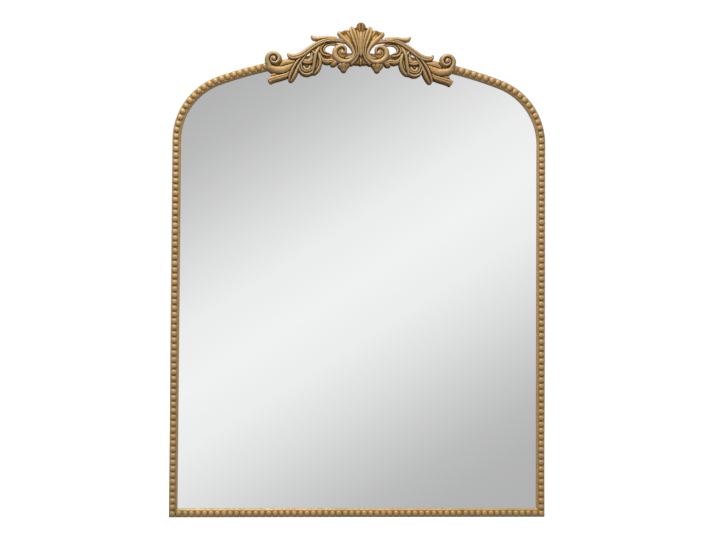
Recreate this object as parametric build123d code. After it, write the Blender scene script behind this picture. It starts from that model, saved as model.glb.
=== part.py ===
# An arch-topped wall mirror. A beaded moulding in four lengths holds the glass, a carved crest in three
# castings stands on the arch, a board closes the back, and two rings swing in straps to hang it by.
# X runs to the right, Z is up and the front faces -Y. X = 0 is the middle, Z = 0 is the underside of the
# bottom rail and Y = 0 is the front face of the glass.
from build123d import *
from math import asin, atan2, cos, degrees, pi, radians, sin, sqrt
import os

# Overall sizes
overall_height = 1016.0
overall_width = 770.0
crest_rise = 62.0
head_radius = 845.0
shoulder_radius = 140.0

# Section of the moulding, across from its outer edge and forward from the glass
moulding_width = 17.3
outer_rounding = 1.6
bed_width = 11.6
bed_height = 7.0
sight_height = 3.5
land_width = 10.5

# Carved beads
bead_pitch = 13.1
bead_gap = 2.4
bead_margin = 0.5
bead_height = 4.0
bead_sink = 0.4
bead_sides = 6
bead_ring_shares = ((1.0, 0.0), (0.78, 0.66))

# Glass, pads and board, from front to back
glass_thickness = 4.0
glass_clearance = 1.0
pad_thickness = 1.0
pad_length = 30.0
pad_width = 6.0
pad_side_shares = (0.12, 0.5, 0.9)
pad_foot_shares = (-0.6, 0.6)
board_thickness = 9.0
board_inset = 2.0

# Joints of the moulding
dowel_radius = 2.5
dowel_length = 30.0
dowel_end_gap = 0.5
dowel_sides = 12
vnail_count = 2
vnail_arm = 4.5
vnail_gauge = 0.6
vnail_depth = 8.0
vnail_setback = 2.4
vnail_spacing = 3.0

# Screws
screw_sides = 6
countersunk_radius = 3.0
countersunk_height = 2.2
screw_radius = 1.5
screw_tip_radius = 0.4
screw_tip_length = 2.0
board_screw_length = 16.0
board_screw_side_shares = (0.1, 0.55)
board_screw_foot_shares = (-0.5, 0.5)
board_screw_head_shares = (0.36, 1.08)
crest_screw_bite = 5.5
centre_screw_shares = (-0.262, 0.0, 0.262)
wing_screw_shares = (0.459, 0.632, 0.885)

# Hanging straps and rings
hanger_inset = 30.0
hanger_drop = 40.0
strap_width = 12.0
strap_length = 48.0
strap_gauge = 1.5
ring_wire_radius = 1.5
ring_sides = 8
ring_half_width = 12.0
ring_depth = 22.0
ring_corner = 3.0
ring_bow_steps = 8
ring_corner_steps = 2
eye_clearance = 0.1
eye_width = 10.0
eye_sides = 12
strap_screw_drops = (10.0, 36.0)
pan_radius = 3.2
pan_height = 2.0
pan_sides = 8
pan_top_share = 0.7
strap_screw_length = 8.0

# Rubber bumpers
bumper_radius = 6.0
bumper_thickness = 7.0
bumper_sides = 12
bumper_inset = 25.0
bumper_top_share = 0.85

# Carved crest. Its drawing is in shares: along is a share of the reach, measured along the arch's outer
# edge from the middle. Up is a share of the rise, above that edge. Widths are shares of the rise too, and
# heights are shares of the depth, forward from the seat on the moulding.
crest_reach = 200.0
crest_depth = 16.0
spiral_step_turns = 1 / 12

crowned_shares = ((-0.5, 0), (-0.5, 0.5), (0, 1), (0.5, 0.5), (0.5, 0))
grooved_shares = ((-0.5, 0), (-0.5, 0.6), (-0.3, 1), (0, 0.62), (0.3, 1), (0.5, 0.6), (0.5, 0))

bud_shares = ((0, 0.62, 0.10, 0.8), (0, 0.73, 0.26, 0.95), (0, 0.845, 0.345, 1.0), (0, 0.94, 0.28, 0.95),
              (0, 1.0, 0.12, 0.8))
column_shares = ((0, 0.76, 0.18, 0.88), (0, 0.50, 0.15, 1.0), (0, 0.10, 0.12, 1.0), (0, -0.17, 0.10, 0.88),
                 (0, -0.41, 0.07, 0.69))
side_flute_shares = ((0.032, 0.71, 0.13, 0.81), (0.029, 0.43, 0.11, 0.91), (0.025, 0.16, 0.09, 0.91),
                     (0.032, -0.10, 0.09, 0.88), (0.056, -0.32, 0.12, 0.75), (0.073, -0.40, 0.10, 0.62))
inner_leaf_shares = ((0.085, 0.86, 0.06, 0.56), (0.079, 0.66, 0.18, 0.75), (0.062, 0.43, 0.17, 0.81),
                     (0.052, 0.16, 0.12, 0.81), (0.057, -0.07, 0.12, 0.81), (0.087, -0.27, 0.13, 0.75),
                     (0.138, -0.40, 0.12, 0.69))
mid_leaf_shares = ((0.150, 0.66, 0.12, 0.5), (0.112, 0.50, 0.20, 0.59), (0.086, 0.31, 0.16, 0.66),
                   (0.071, 0.10, 0.12, 0.69))
outer_leaf_shares = ((0.212, 0.70, 0.08, 0.56), (0.160, 0.54, 0.20, 0.69), (0.115, 0.36, 0.18, 0.75),
                     (0.088, 0.15, 0.12, 0.75), (0.088, -0.05, 0.12, 0.75), (0.117, -0.22, 0.15, 0.75),
                     (0.165, -0.29, 0.19, 0.81))
foot_shares = ((0.175, -0.30, 0.16, 0.69), (0.175, -0.43, 0.26, 0.66), (0.175, -0.53, 0.21, 0.6),
               (0.175, -0.60, 0.09, 0.5))
base_shares = ((-0.16, -0.28, 0.2, 0.4), (0, -0.25, 0.24, 0.4), (0.16, -0.28, 0.2, 0.4))

stem_shares = ((0.125, 0.32, 0.11, 0.56), (0.224, 0.41, 0.15, 0.62), (0.304, 0.44, 0.16, 0.66),
               (0.385, 0.40, 0.17, 0.66), (0.464, 0.29, 0.17, 0.66), (0.534, 0.16, 0.17, 0.66),
               (0.598, 0.04, 0.17, 0.66), (0.652, -0.01, 0.15, 0.62), (0.701, 0.01, 0.14, 0.62),
               (0.729, 0.09, 0.13, 0.59), (0.737, 0.19, 0.05, 0.56))
flick_shares = ((0.292, 0.51, 0.09, 0.59), (0.366, 0.52, 0.11, 0.69), (0.427, 0.50, 0.12, 0.72),
                (0.465, 0.53, 0.15, 0.69), (0.475, 0.66, 0.05, 0.59))
down_leaf_shares = ((0.576, 0.01, 0.12, 0.56), (0.635, -0.14, 0.17, 0.59), (0.687, -0.34, 0.21, 0.62),
                    (0.726, -0.54, 0.22, 0.59), (0.767, -0.78, 0.08, 0.50))
tail_shares = ((0.714, -0.23, 0.17, 0.50), (0.771, -0.32, 0.27, 0.56), (0.841, -0.36, 0.30, 0.62),
               (0.904, -0.28, 0.28, 0.66))
hump_shares = ((0.705, -0.16, 0.10, 0.50), (0.750, -0.12, 0.12, 0.53), (0.797, -0.10, 0.13, 0.53),
               (0.830, -0.17, 0.12, 0.47))
low_leaf_shares = ((0.743, -0.46, 0.11, 0.44), (0.805, -0.58, 0.15, 0.50), (0.877, -0.60, 0.18, 0.53),
                   (0.946, -0.57, 0.18, 0.53), (1.0, -0.56, 0.23, 0.50))
inner_band_shares = ((0.232, 0.24, 0.08, 0.50), (0.277, 0.30, 0.09, 0.53), (0.327, 0.31, 0.10, 0.56),
                     (0.369, 0.25, 0.12, 0.56), (0.388, 0.14, 0.12, 0.56), (0.369, 0.02, 0.12, 0.56),
                     (0.324, -0.02, 0.07, 0.47))
drop_leaf_shares = ((0.397, 0.32, 0.09, 0.53), (0.430, 0.17, 0.10, 0.59), (0.453, -0.03, 0.10, 0.66),
                    (0.468, -0.22, 0.10, 0.66), (0.487, -0.42, 0.10, 0.62), (0.519, -0.62, 0.09, 0.53))
second_leaf_shares = ((0.413, 0.19, 0.10, 0.50), (0.427, 0, 0.11, 0.56), (0.427, -0.20, 0.13, 0.56),
                      (0.436, -0.42, 0.05, 0.44))
hook_shares = ((0.425, 0, 0.09, 0.53), (0.405, -0.18, 0.11, 0.56), (0.362, -0.26, 0.13, 0.56),
               (0.309, -0.26, 0.14, 0.56), (0.279, -0.31, 0.17, 0.56))
lobe_shares = ((0.246, -0.27, 0.13, 0.56), (0.285, -0.35, 0.14, 0.53), (0.314, -0.36, 0.09, 0.44))
curl_shares = ((0.425, 0.23, 0.09, 0.53), (0.478, 0.14, 0.11, 0.53), (0.503, 0.02, 0.12, 0.53),
               (0.508, -0.13, 0.13, 0.56), (0.550, -0.23, 0.15, 0.56))
shell_top_shares = ((0.622, -0.10, 0.10, 0.53), (0.594, -0.18, 0.15, 0.56), (0.534, -0.22, 0.16, 0.56),
                    (0.477, -0.19, 0.10, 0.56))
shell_shares = ((0.629, -0.20, 0.10, 0.56), (0.642, -0.37, 0.13, 0.62), (0.623, -0.53, 0.17, 0.66),
                (0.577, -0.60, 0.17, 0.66), (0.526, -0.56, 0.15, 0.62), (0.501, -0.43, 0.13, 0.59))
shell_ridge_shares = ((0.602, -0.35, 0.09, 0.69), (0.590, -0.46, 0.10, 0.75), (0.554, -0.47, 0.10, 0.75),
                      (0.531, -0.37, 0.09, 0.69))

# Volutes: along and up of the centre, then start and end of the radius, width and height
scroll_centre_shares = (0.196, 0.025)
scroll_radius_shares = (0.29, 0.11)
scroll_width_shares = (0.19, 0.08)
scroll_height_shares = (0.81, 0.62)
scroll_start_turn = -0.17
scroll_turns = 0.84
volute_centre_shares = (0.889, 0.092)
volute_radius_shares = (0.268, 0.06)
volute_width_shares = (0.21, 0.06)
volute_height_shares = (0.69, 1.0)
volute_start_turn = -0.12
volute_turns = 1.4

# Plain bosses: along, up, radius and height
scroll_eye_shares = (0.192, 0.028, 0.11, 0.78)
volute_disc_shares = (0.889, 0.085, 0.25, 0.5)
shell_disc_shares = (0.573, -0.40, 0.22, 0.4)
boss_sides = 10
boss_ring_shares = ((1.0, 0.0), (1.0, 0.55), (0.6, 1.0))

# Places that follow from the sizes above
half_width = overall_width / 2
arch_height = overall_height - crest_rise
head_centre_z = arch_height - head_radius
shoulder_centre_x = half_width - shoulder_radius
centre_distance = head_radius - shoulder_radius
springing_z = head_centre_z + sqrt(centre_distance ** 2 - shoulder_centre_x ** 2)
head_half_angle = degrees(asin(shoulder_centre_x / centre_distance))
bed_end = outer_rounding + bed_width
bead_line = outer_rounding + bed_width / 2
rebate_depth = glass_thickness + pad_thickness
board_back = rebate_depth + board_thickness
land_middle = land_width / 2
bead_length = bead_pitch - bead_gap
bead_width = bed_width - 2 * bead_margin
ring_rest_y = board_back + strap_gauge + eye_clearance + ring_wire_radius
hanger_z = springing_z - hanger_drop


def skin(rings, closed=False):
    """A solid whose sides run from ring to ring in flat triangles.

    A closed row of rings has no ends, and a last ring of one point is an apex.
    """
    bands = list(zip(rings, rings[1:]))
    outlines = []
    if closed:
        bands.append((rings[-1], rings[0]))
    else:
        outlines = [ring for ring in (rings[0], rings[-1]) if len(ring) > 1]
    for near, far in bands:
        for i in range(len(near)):
            if len(far) == 1:
                outlines.append((near[i - 1], near[i], far[0]))
            else:
                outlines += [(near[i - 1], near[i], far[i]), (near[i - 1], far[i], far[i - 1])]
    faces = [Face(Wire.make_polygon(points)) for points in outlines]
    solid = Solid(Shell(faces))
    return solid if solid.volume > 0 else Solid(Shell([-face for face in faces]))


def ring_of_points(sides, half_x, half_z, depth):
    """A regular ring in the plane Y = depth, turned so that a flat side faces each axis."""
    turns = [2 * pi * (i + 1 / 2) / sides for i in range(sides)]
    return [Vector(half_x * cos(turn), depth, half_z * sin(turn)) for turn in turns]


def prism_along_y(sides, stations):
    """A round-looking solid along Y, in flat sides, from (radius, y) stations."""
    return skin([ring_of_points(sides, radius, radius, y) for radius, y in stations])


def mirrored(shape):
    return mirror(shape, about=Plane.YZ)


def outline(inset):
    """The mirror's outline, drawn in by an inset, as a face at Y = 0."""
    foot = (half_width - inset, inset)
    springing = (half_width - inset, springing_z)
    shoulder_middle = shoulder_point(1 / 2, inset)[:2]
    shoulder_end = shoulder_point(1, inset)[:2]
    head_middle = arch_point(head_radius * radians(head_half_angle) / 2, inset)[:2]
    crown = arch_point(0, inset)[:2]
    right = [Line((0, inset), foot), Line(foot, springing),
             ThreePointArc(springing, shoulder_middle, shoulder_end),
             ThreePointArc(shoulder_end, head_middle, crown)]
    left = [mirror(edge, about=Plane.YZ) for edge in right]
    return Plane.XZ * make_face(right + left)


def plate(inset, front, thickness):
    """A flat plate of the mirror's outline whose front face lies at Y = front."""
    return Pos(0, front, 0) * extrude(outline(inset), -thickness)


def moulding_section():
    """The moulding's section: X runs in from the outer edge and -Y is forward."""
    eased = outer_rounding * (1 - sqrt(1 / 2))
    points = [(0, rebate_depth), (0, outer_rounding - bed_height), (eased, eased - bed_height),
              (outer_rounding, -bed_height), (bed_end, -bed_height), (moulding_width, -sight_height),
              (moulding_width, 0), (land_width, 0), (land_width, rebate_depth)]
    return make_face(Polyline(*points, close=True))


def bead():
    """One carved bead, standing on the plane Y = 0 and sunk a little into it."""
    half_length = bead_length / 2 / cos(pi / bead_sides)
    rings = [ring_of_points(bead_sides, size_share * half_length, size_share * bead_width / 2,
                            bead_sink - lift_share * (bead_height + bead_sink))
             for size_share, lift_share in bead_ring_shares]
    return skin(rings + [[Vector(0, -bead_height, 0)]])


def arch_point(along, inset):
    """X, Z and the turn from upright at a distance along the arch's outer edge from its middle."""
    turn = along / head_radius
    reach = head_radius - inset
    return reach * sin(turn), head_centre_z + reach * cos(turn), degrees(turn)


def shoulder_point(turn_share, inset):
    """X, Z and the turn from upright on the right shoulder, from its springing at 0 to the head at 1."""
    turn = 90 - turn_share * (90 - head_half_angle)
    reach = shoulder_radius - inset
    return (shoulder_centre_x + reach * sin(radians(turn)), springing_z + reach * cos(radians(turn)), turn)


def placed(shape, place, depth=0):
    """A shape moved to X, Z and a turn from upright, at Y = depth."""
    x, z, turn = place
    return shape.moved(Location((x, depth, z), (0, turn, 0)))


def drawn(points, depth, height):
    """A flat outline of X and Z points, its front face at Y = depth, made solid backwards."""
    face = Plane.XZ * make_face(Polyline(*points, close=True))
    return Pos(0, depth, 0) * extrude(face, -height)


# Beads of the two runs: up each side from the corner, and round each shoulder to the crest

def side_beads():
    """Places of the beads on the right stile, from the corner bead to half a step under the springing."""
    length = springing_z - bead_line
    count = round(length / bead_pitch - 1 / 2)
    step = length / (count + 1 / 2)
    return [(half_width - bead_line, bead_line + i * step, 90) for i in range(count + 1)]


def foot_beads():
    """Places of the beads on the bottom rail, corner beads included."""
    length = 2 * (half_width - bead_line)
    count = round(length / bead_pitch)
    step = length / count
    return [(i * step - length / 2, bead_line, 0) for i in range(count + 1)]


def arch_beads():
    """Places of the beads on the right half of the arch, up to the end of the crest."""
    shoulder_length = (shoulder_radius - bead_line) * radians(90 - head_half_angle)
    share_of_edge = (head_radius - bead_line) / head_radius
    head_length = (head_radius * radians(head_half_angle) - crest_reach - bead_pitch / 2) * share_of_edge
    count = round((shoulder_length + head_length) / bead_pitch)
    step = (shoulder_length + head_length) / count
    places = []
    for i in range(count):
        distance = (i + 1 / 2) * step
        if distance < shoulder_length:
            places.append(shoulder_point(distance / shoulder_length, bead_line))
        else:
            gone = (distance - shoulder_length) / share_of_edge
            places.append(arch_point(head_radius * radians(head_half_angle) - gone, bead_line))
    return places


# Screws, and where they go

def board_screw():
    """A countersunk screw that points forward, its head flush with Y = 0."""
    stations = [(countersunk_radius, 0), (screw_radius, -countersunk_height),
                (screw_radius, screw_tip_length - board_screw_length), (screw_tip_radius, -board_screw_length)]
    return prism_along_y(screw_sides, stations)


def crest_screw():
    """A countersunk screw from the moulding's rear land into a casting, its head flush with Y = 0."""
    length = rebate_depth + bed_height + crest_screw_bite
    stations = [(countersunk_radius, 0), (screw_radius, -countersunk_height),
                (screw_radius, screw_tip_length - length), (screw_tip_radius, -length)]
    return prism_along_y(screw_sides, stations)


def strap_screw():
    """A pan-head screw that points forward, the underside of its head at Y = 0."""
    stations = [(pan_top_share * pan_radius, pan_height), (pan_radius, (1 - pan_top_share) * pan_height),
                (pan_radius, 0), (screw_radius, 0), (screw_radius, screw_tip_length - strap_screw_length),
                (screw_tip_radius, -strap_screw_length)]
    return prism_along_y(pan_sides, stations)


def board_screw_places():
    """All the places of the board's screws: right side, left side, then foot."""
    right = [(half_width - land_middle, share * springing_z, 0) for share in board_screw_side_shares]
    right.append(shoulder_point(1 / 2, land_middle))
    right += [arch_point(share * crest_reach, land_middle) for share in board_screw_head_shares]
    left = [(-x, z, -turn) for x, z, turn in right]
    foot = [(share * half_width, land_middle, 0) for share in board_screw_foot_shares]
    return right + left + foot


def crest_screw_places(shares):
    return [arch_point(share * crest_reach, land_middle) for share in shares]


# The carved crest

def to_sizes(knot_shares):
    """Knots as real lengths: along, up, width and height."""
    return [(along * crest_reach, up * crest_rise, width * crest_rise, height * crest_depth)
            for along, up, width, height in knot_shares]


def smoothed(knots, steps):
    """Stations on a smooth curve through the knots, with some steps from each knot to the next."""
    last = len(knots) - 1
    stations = []
    for i in range(last):
        near = (knots[max(i - 1, 0)], knots[i], knots[i + 1], knots[min(i + 2, last)])
        for step in range(steps):
            f = step / steps
            weights = ((2 * f ** 2 - f - f ** 3) / 2, (3 * f ** 3 - 5 * f ** 2 + 2) / 2,
                       (4 * f ** 2 - 3 * f ** 3 + f) / 2, (f ** 3 - f ** 2) / 2)
            stations.append(tuple(sum(w * v for w, v in zip(weights, values)) for values in zip(*near)))
    return stations + [knots[-1]]


def spiral(centre_shares, radius_shares, width_shares, height_shares, start_turn, turns):
    """Stations of a volute that winds in at a steady rate."""
    count = round(turns / spiral_step_turns)
    stations = []
    for i in range(count + 1):
        f = i / count
        turn = 2 * pi * (start_turn + f * turns)
        radius, width, height = (start + f * (end - start)
                                 for start, end in (radius_shares, width_shares, height_shares))
        stations.append((centre_shares[0] * crest_reach + radius * crest_rise * cos(turn),
                         centre_shares[1] * crest_rise + radius * crest_rise * sin(turn),
                         width * crest_rise, height * crest_depth))
    return stations


def crest_point(along, up, lift):
    """A point of the crest, forward of its seat by the lift."""
    x, z, turn = arch_point(along, -up)
    return Vector(x, -bed_height - lift, z)


def limb(stations, section_shares=crowned_shares):
    """One carved limb along its stations, each of them along, up, width and height."""
    forward = Vector(0, -1, 0)
    rings = []
    for i, (along, up, width, height) in enumerate(stations):
        before = stations[max(i - 1, 0)]
        after = stations[min(i + 1, len(stations) - 1)]
        side = Vector(before[1] - after[1], 0, after[0] - before[0]).normalized()
        side = side.rotate(Axis.Y, arch_point(along, 0)[2])
        seat = crest_point(along, up, 0)
        rings.append([seat + side * across * width + forward * lift * height for across, lift in section_shares])
    return skin(rings)


def leaf(knot_shares, steps=1, section_shares=crowned_shares):
    return limb(smoothed(to_sizes(knot_shares), steps), section_shares)


def boss(along_share, up_share, radius_share, height_share):
    """A low round boss under or inside a volute."""
    rings = []
    for size, lift in boss_ring_shares:
        radius = size * radius_share * crest_rise
        turns = [2 * pi * i / boss_sides for i in range(boss_sides)]
        rings.append([crest_point(along_share * crest_reach + radius * cos(turn),
                                  up_share * crest_rise + radius * sin(turn),
                                  lift * height_share * crest_depth) for turn in turns])
    return skin(rings)


def crest_centre_casting():
    """The palmette: a bud on a column, flutes that flare to leaves, and a scroll on each side."""
    scroll = spiral(scroll_centre_shares, scroll_radius_shares, scroll_width_shares, scroll_height_shares,
                    scroll_start_turn, scroll_turns)
    right = [limb(smoothed(to_sizes(outer_leaf_shares), 2) + scroll), leaf(mid_leaf_shares),
             leaf(inner_leaf_shares), leaf(side_flute_shares), leaf(foot_shares),
             boss(*scroll_eye_shares)]
    middle = [leaf(column_shares), leaf(bud_shares, 1, grooved_shares), leaf(base_shares)]
    left = [mirrored(piece) for piece in right]
    return middle[0].fuse(*middle[1:], *right, *left)


def crest_wing_casting():
    """The right wing: a stem with its flicks and leaves, a shell, and a tail that ends in a volute."""
    volute = spiral(volute_centre_shares, volute_radius_shares, volute_width_shares, volute_height_shares,
                    volute_start_turn, volute_turns)
    stem = leaf(stem_shares, 2)
    leaves = [leaf(shares) for shares in (flick_shares, hump_shares, inner_band_shares, drop_leaf_shares,
                                          second_leaf_shares, hook_shares, lobe_shares, curl_shares,
                                          shell_top_shares, shell_shares, shell_ridge_shares)]
    grooved = [leaf(down_leaf_shares, 2, grooved_shares), leaf(low_leaf_shares, 1, grooved_shares)]
    tail = limb(smoothed(to_sizes(tail_shares), 2) + volute)
    bosses = [boss(*volute_disc_shares), boss(*shell_disc_shares)]
    return stem.fuse(*leaves, *grooved, tail, *bosses)


def largest(shape):
    return shape.solids().sort_by(SortBy.VOLUME)[-1]


# The moulding

def right_stile_blank():
    run = mirrored(extrude(moulding_section(), springing_z))
    return Pos(half_width, 0, 0) * run


def bottom_rail_blank():
    return Pos(half_width, 0, 0) * Rot(0, -90, 0) * extrude(moulding_section(), overall_width)


def top_arch_blank():
    """Two shoulders and the head, each turned about its own centre."""
    at_springing = Pos(-half_width, 0, springing_z) * moulding_section()
    shoulder_axis = Axis((-shoulder_centre_x, 0, springing_z), (0, 1, 0))
    left_shoulder = revolve(at_springing, shoulder_axis, 90 - head_half_angle)
    head_axis = Axis((0, 0, head_centre_z), (0, 1, 0))
    upright = Pos(0, 0, arch_height) * Rot(0, 90, 0) * moulding_section()
    head = revolve(upright.rotate(head_axis, -head_half_angle), head_axis, 2 * head_half_angle)
    return head.fuse(left_shoulder, mirrored(left_shoulder))


def corner_cutter():
    """The half of space on the stile's side of the right mitre, as far as the moulding reaches."""
    reach = 2 * moulding_width
    corner = (half_width - reach, reach)
    points = [(half_width + reach, -reach), corner, (corner[0], springing_z + reach),
              (half_width + reach, springing_z + reach)]
    return drawn(points, -2 * bed_height, 2 * (bed_height + board_back))


def dowel():
    """The right shoulder's dowel, half in the stile and half in the arch."""
    ring = [Vector(v.X, v.Z, 0) for v in ring_of_points(dowel_sides, dowel_radius, dowel_radius, 0)]
    middle_y = (rebate_depth - bed_height) / 2
    start = Pos(half_width - land_middle, middle_y, springing_z - dowel_length / 2)
    return start * extrude(make_face(Polyline(*ring, close=True)), dowel_length)


def vnails():
    """The right corner's V-nails, each with an arm along either rail."""
    nails = []
    for i in range(vnail_count):
        near = vnail_setback + i * vnail_spacing
        far, inside = near + vnail_arm, near + vnail_gauge
        points = [(near, near), (far, near), (far, inside), (inside, inside), (inside, far), (near, far)]
        nails.append(drawn([(half_width - x, z) for x, z in points], rebate_depth - vnail_depth, vnail_depth))
    return nails


# The hanger

def strap():
    """The right strap: a plate on the board that ends in an eye, with two screw holes."""
    x = half_width - hanger_inset
    bore_radius = ring_wire_radius + eye_clearance
    outer, bore = (RegularPolygon(radius, eye_sides, major_radius=False, rotation=180 / eye_sides)
                   for radius in (bore_radius + strap_gauge, bore_radius))
    eye_face = Plane.YZ * (outer - bore)
    eye = Pos(x - eye_width / 2, ring_rest_y, hanger_z) * extrude(eye_face, eye_width)
    bore_solid = Pos(x - eye_width / 2, ring_rest_y, hanger_z) * extrude(Plane.YZ * bore, eye_width)
    tail_z, shoulder_z = hanger_z - strap_length, hanger_z - ring_wire_radius
    half_strap, half_eye = strap_width / 2, eye_width / 2
    points = [(x - half_eye, hanger_z), (x + half_eye, hanger_z), (x + half_strap, shoulder_z - strap_gauge),
              (x + half_strap, tail_z), (x - half_strap, tail_z), (x - half_strap, shoulder_z - strap_gauge)]
    plate_solid = drawn(points, board_back, strap_gauge)
    return (plate_solid + eye) - bore_solid


def hanging_ring():
    """The right ring, hanging down: a straight bar in the eye and a bow below it."""
    corner_turns = [i / ring_corner_steps * pi / 2 for i in range(ring_corner_steps + 1)]
    bow_turns = [i / ring_bow_steps * pi / 2 for i in range(ring_bow_steps // 2 + 1)]
    corner_x = ring_half_width - ring_corner
    bow_z = ring_half_width - ring_depth
    right = [(corner_x + ring_corner * sin(turn), ring_corner * (cos(turn) - 1)) for turn in corner_turns]
    right += [(ring_half_width * cos(2 * turn), bow_z - ring_half_width * sin(2 * turn)) for turn in bow_turns]
    path = right + [(-x, z) for x, z in reversed(right[:-1])]
    rings = []
    for i, (x, z) in enumerate(path):
        before, after = path[i - 1], path[(i + 1) % len(path)]
        turn_in = atan2(z - before[1], x - before[0])
        turn_out = atan2(after[1] - z, after[0] - x)
        bend = (turn_out - turn_in + pi) % (2 * pi) - pi
        facing = turn_in + bend / 2 + pi / 2
        spread = ring_wire_radius / cos(bend / 2)
        turns = [2 * pi * (k + 1 / 2) / ring_sides for k in range(ring_sides)]
        rings.append([Vector(half_width - hanger_inset + x + spread * cos(turn) * cos(facing),
                             ring_rest_y + ring_wire_radius * sin(turn),
                             hanger_z + z + spread * cos(turn) * sin(facing)) for turn in turns])
    return skin(rings, closed=True)


def strap_screws():
    x = half_width - hanger_inset
    return [placed(strap_screw(), (x, hanger_z - drop, 0), board_back + strap_gauge)
            for drop in strap_screw_drops]


def bumper():
    """The right bumper, a tapered button on the back of the board."""
    stations = [(bumper_top_share * bumper_radius, bumper_thickness),
                (bumper_radius, bumper_top_share * bumper_thickness), (bumper_radius, 0)]
    button = prism_along_y(bumper_sides, stations)
    return placed(button, (half_width - bumper_inset, bumper_inset, 0), board_back)


def glass_pads():
    """Thin pads between the glass and the board, behind the lip of the moulding."""
    across = land_width + glass_clearance + pad_width / 2
    places = [(side * (half_width - across), share * springing_z, 90)
              for side in (-1, 1) for share in pad_side_shares]
    places += [(share * half_width, across, 0) for share in pad_foot_shares]
    pad = Pos(0, pad_thickness / 2, 0) * Box(pad_length, pad_thickness, pad_width)
    return [placed(pad, place, glass_thickness) for place in places]


def group(solids):
    return Compound(children=[solid for shape in solids for solid in shape.solids()])


def assemble():
    """Every piece by its name."""
    board_screws = [placed(board_screw(), place, board_back) for place in board_screw_places()]
    centre_screws = [placed(crest_screw(), place, rebate_depth)
                     for place in crest_screw_places(centre_screw_shares)]
    right_wing_screws = [placed(crest_screw(), place, rebate_depth)
                         for place in crest_screw_places(wing_screw_shares)]
    left_wing_screws = [mirrored(screw) for screw in right_wing_screws]
    right_strap_screws = strap_screws()
    left_strap_screws = [mirrored(screw) for screw in right_strap_screws]
    all_strap_screws = right_strap_screws + left_strap_screws

    one_bead = bead()
    stile = right_stile_blank().fuse(*[placed(one_bead, place, -bed_height) for place in side_beads()])
    rail = bottom_rail_blank().fuse(*[placed(one_bead, place, -bed_height) for place in foot_beads()])
    right_arch_beads = [placed(one_bead, place, -bed_height) for place in arch_beads()]
    arch = top_arch_blank().fuse(*right_arch_beads, *[mirrored(shape) for shape in right_arch_beads])
    cutter = corner_cutter()
    right_dowel = dowel()
    dowel_room = Pos(0, 0, dowel_end_gap) * right_dowel
    right_vnails = vnails()

    right_stile = (stile & cutter).cut(right_dowel, *right_vnails, *board_screws, *right_strap_screws)
    left_stile = mirrored(right_stile)
    bottom_rail = rail.cut(cutter, mirrored(cutter), *right_vnails, *[mirrored(nail) for nail in right_vnails],
                           *board_screws)
    top_arch = arch.cut(right_dowel, mirrored(right_dowel), dowel_room, mirrored(dowel_room), *board_screws,
                        *centre_screws, *right_wing_screws, *left_wing_screws)
    backboard = plate(board_inset, rebate_depth, board_thickness).cut(*board_screws, *all_strap_screws)

    centre = crest_centre_casting()
    wing = crest_wing_casting().cut(centre)
    right_wing = largest(wing.cut(*right_wing_screws))
    right_strap = strap().cut(*right_strap_screws)
    right_ring = hanging_ring()
    right_bumper = bumper()

    return {
        "left_stile": left_stile,
        "right_stile": right_stile,
        "bottom_rail": bottom_rail,
        "top_arch": top_arch,
        "left_shoulder_dowel": mirrored(right_dowel),
        "right_shoulder_dowel": right_dowel,
        "left_corner_vnails": group([mirrored(nail) for nail in right_vnails]),
        "right_corner_vnails": group(right_vnails),
        "mirror_glass": plate(land_width + glass_clearance, 0, glass_thickness),
        "glass_pads": group(glass_pads()),
        "backboard": backboard,
        "backboard_screws": group(board_screws),
        "crest_centre": centre.cut(*centre_screws),
        "crest_left_wing": mirrored(right_wing),
        "crest_right_wing": right_wing,
        "crest_centre_screws": group(centre_screws),
        "crest_left_wing_screws": group(left_wing_screws),
        "crest_right_wing_screws": group(right_wing_screws),
        "left_hanger_strap": mirrored(right_strap),
        "right_hanger_strap": right_strap,
        "left_hanger_ring": mirrored(right_ring),
        "right_hanger_ring": right_ring,
        "left_hanger_screws": group(left_strap_screws),
        "right_hanger_screws": group(right_strap_screws),
        "left_bumper": mirrored(right_bumper),
        "right_bumper": right_bumper,
    }


os.makedirs("parts", exist_ok=True)
for name, piece in assemble().items():
    piece.label = name
    export_step(piece, f"parts/{name}.step")
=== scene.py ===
import random
from math import asin, cos, hypot, pi, radians, sin, sqrt

import bmesh
import bpy
from mathutils import Matrix, Vector, noise


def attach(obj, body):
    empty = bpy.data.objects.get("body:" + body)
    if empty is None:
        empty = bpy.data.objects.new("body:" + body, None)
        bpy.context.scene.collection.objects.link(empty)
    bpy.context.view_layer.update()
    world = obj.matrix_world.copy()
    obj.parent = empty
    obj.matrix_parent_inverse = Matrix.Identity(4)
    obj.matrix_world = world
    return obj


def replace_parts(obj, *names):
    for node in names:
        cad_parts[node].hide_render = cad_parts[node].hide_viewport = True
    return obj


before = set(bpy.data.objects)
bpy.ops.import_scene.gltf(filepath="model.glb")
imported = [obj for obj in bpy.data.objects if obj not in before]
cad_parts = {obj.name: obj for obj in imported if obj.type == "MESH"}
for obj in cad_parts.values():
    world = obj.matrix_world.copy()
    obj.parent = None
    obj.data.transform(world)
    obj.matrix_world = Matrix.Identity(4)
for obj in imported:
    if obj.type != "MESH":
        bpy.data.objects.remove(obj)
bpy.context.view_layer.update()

mm = 0.001
hair = 0.001 * mm
left, right = -1, 1
hand = random.Random(11)

# The outline, as in the part
half_width = 385 * mm
head_radius = 845 * mm
head_centre_z = 109 * mm
shoulder_radius = 140 * mm
shoulder_centre_x = half_width - shoulder_radius
springing_z = head_centre_z + sqrt((head_radius - shoulder_radius) ** 2 - shoulder_centre_x ** 2)
head_half_angle = asin(shoulder_centre_x / (head_radius - shoulder_radius))
arch_height = head_centre_z + head_radius

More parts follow.
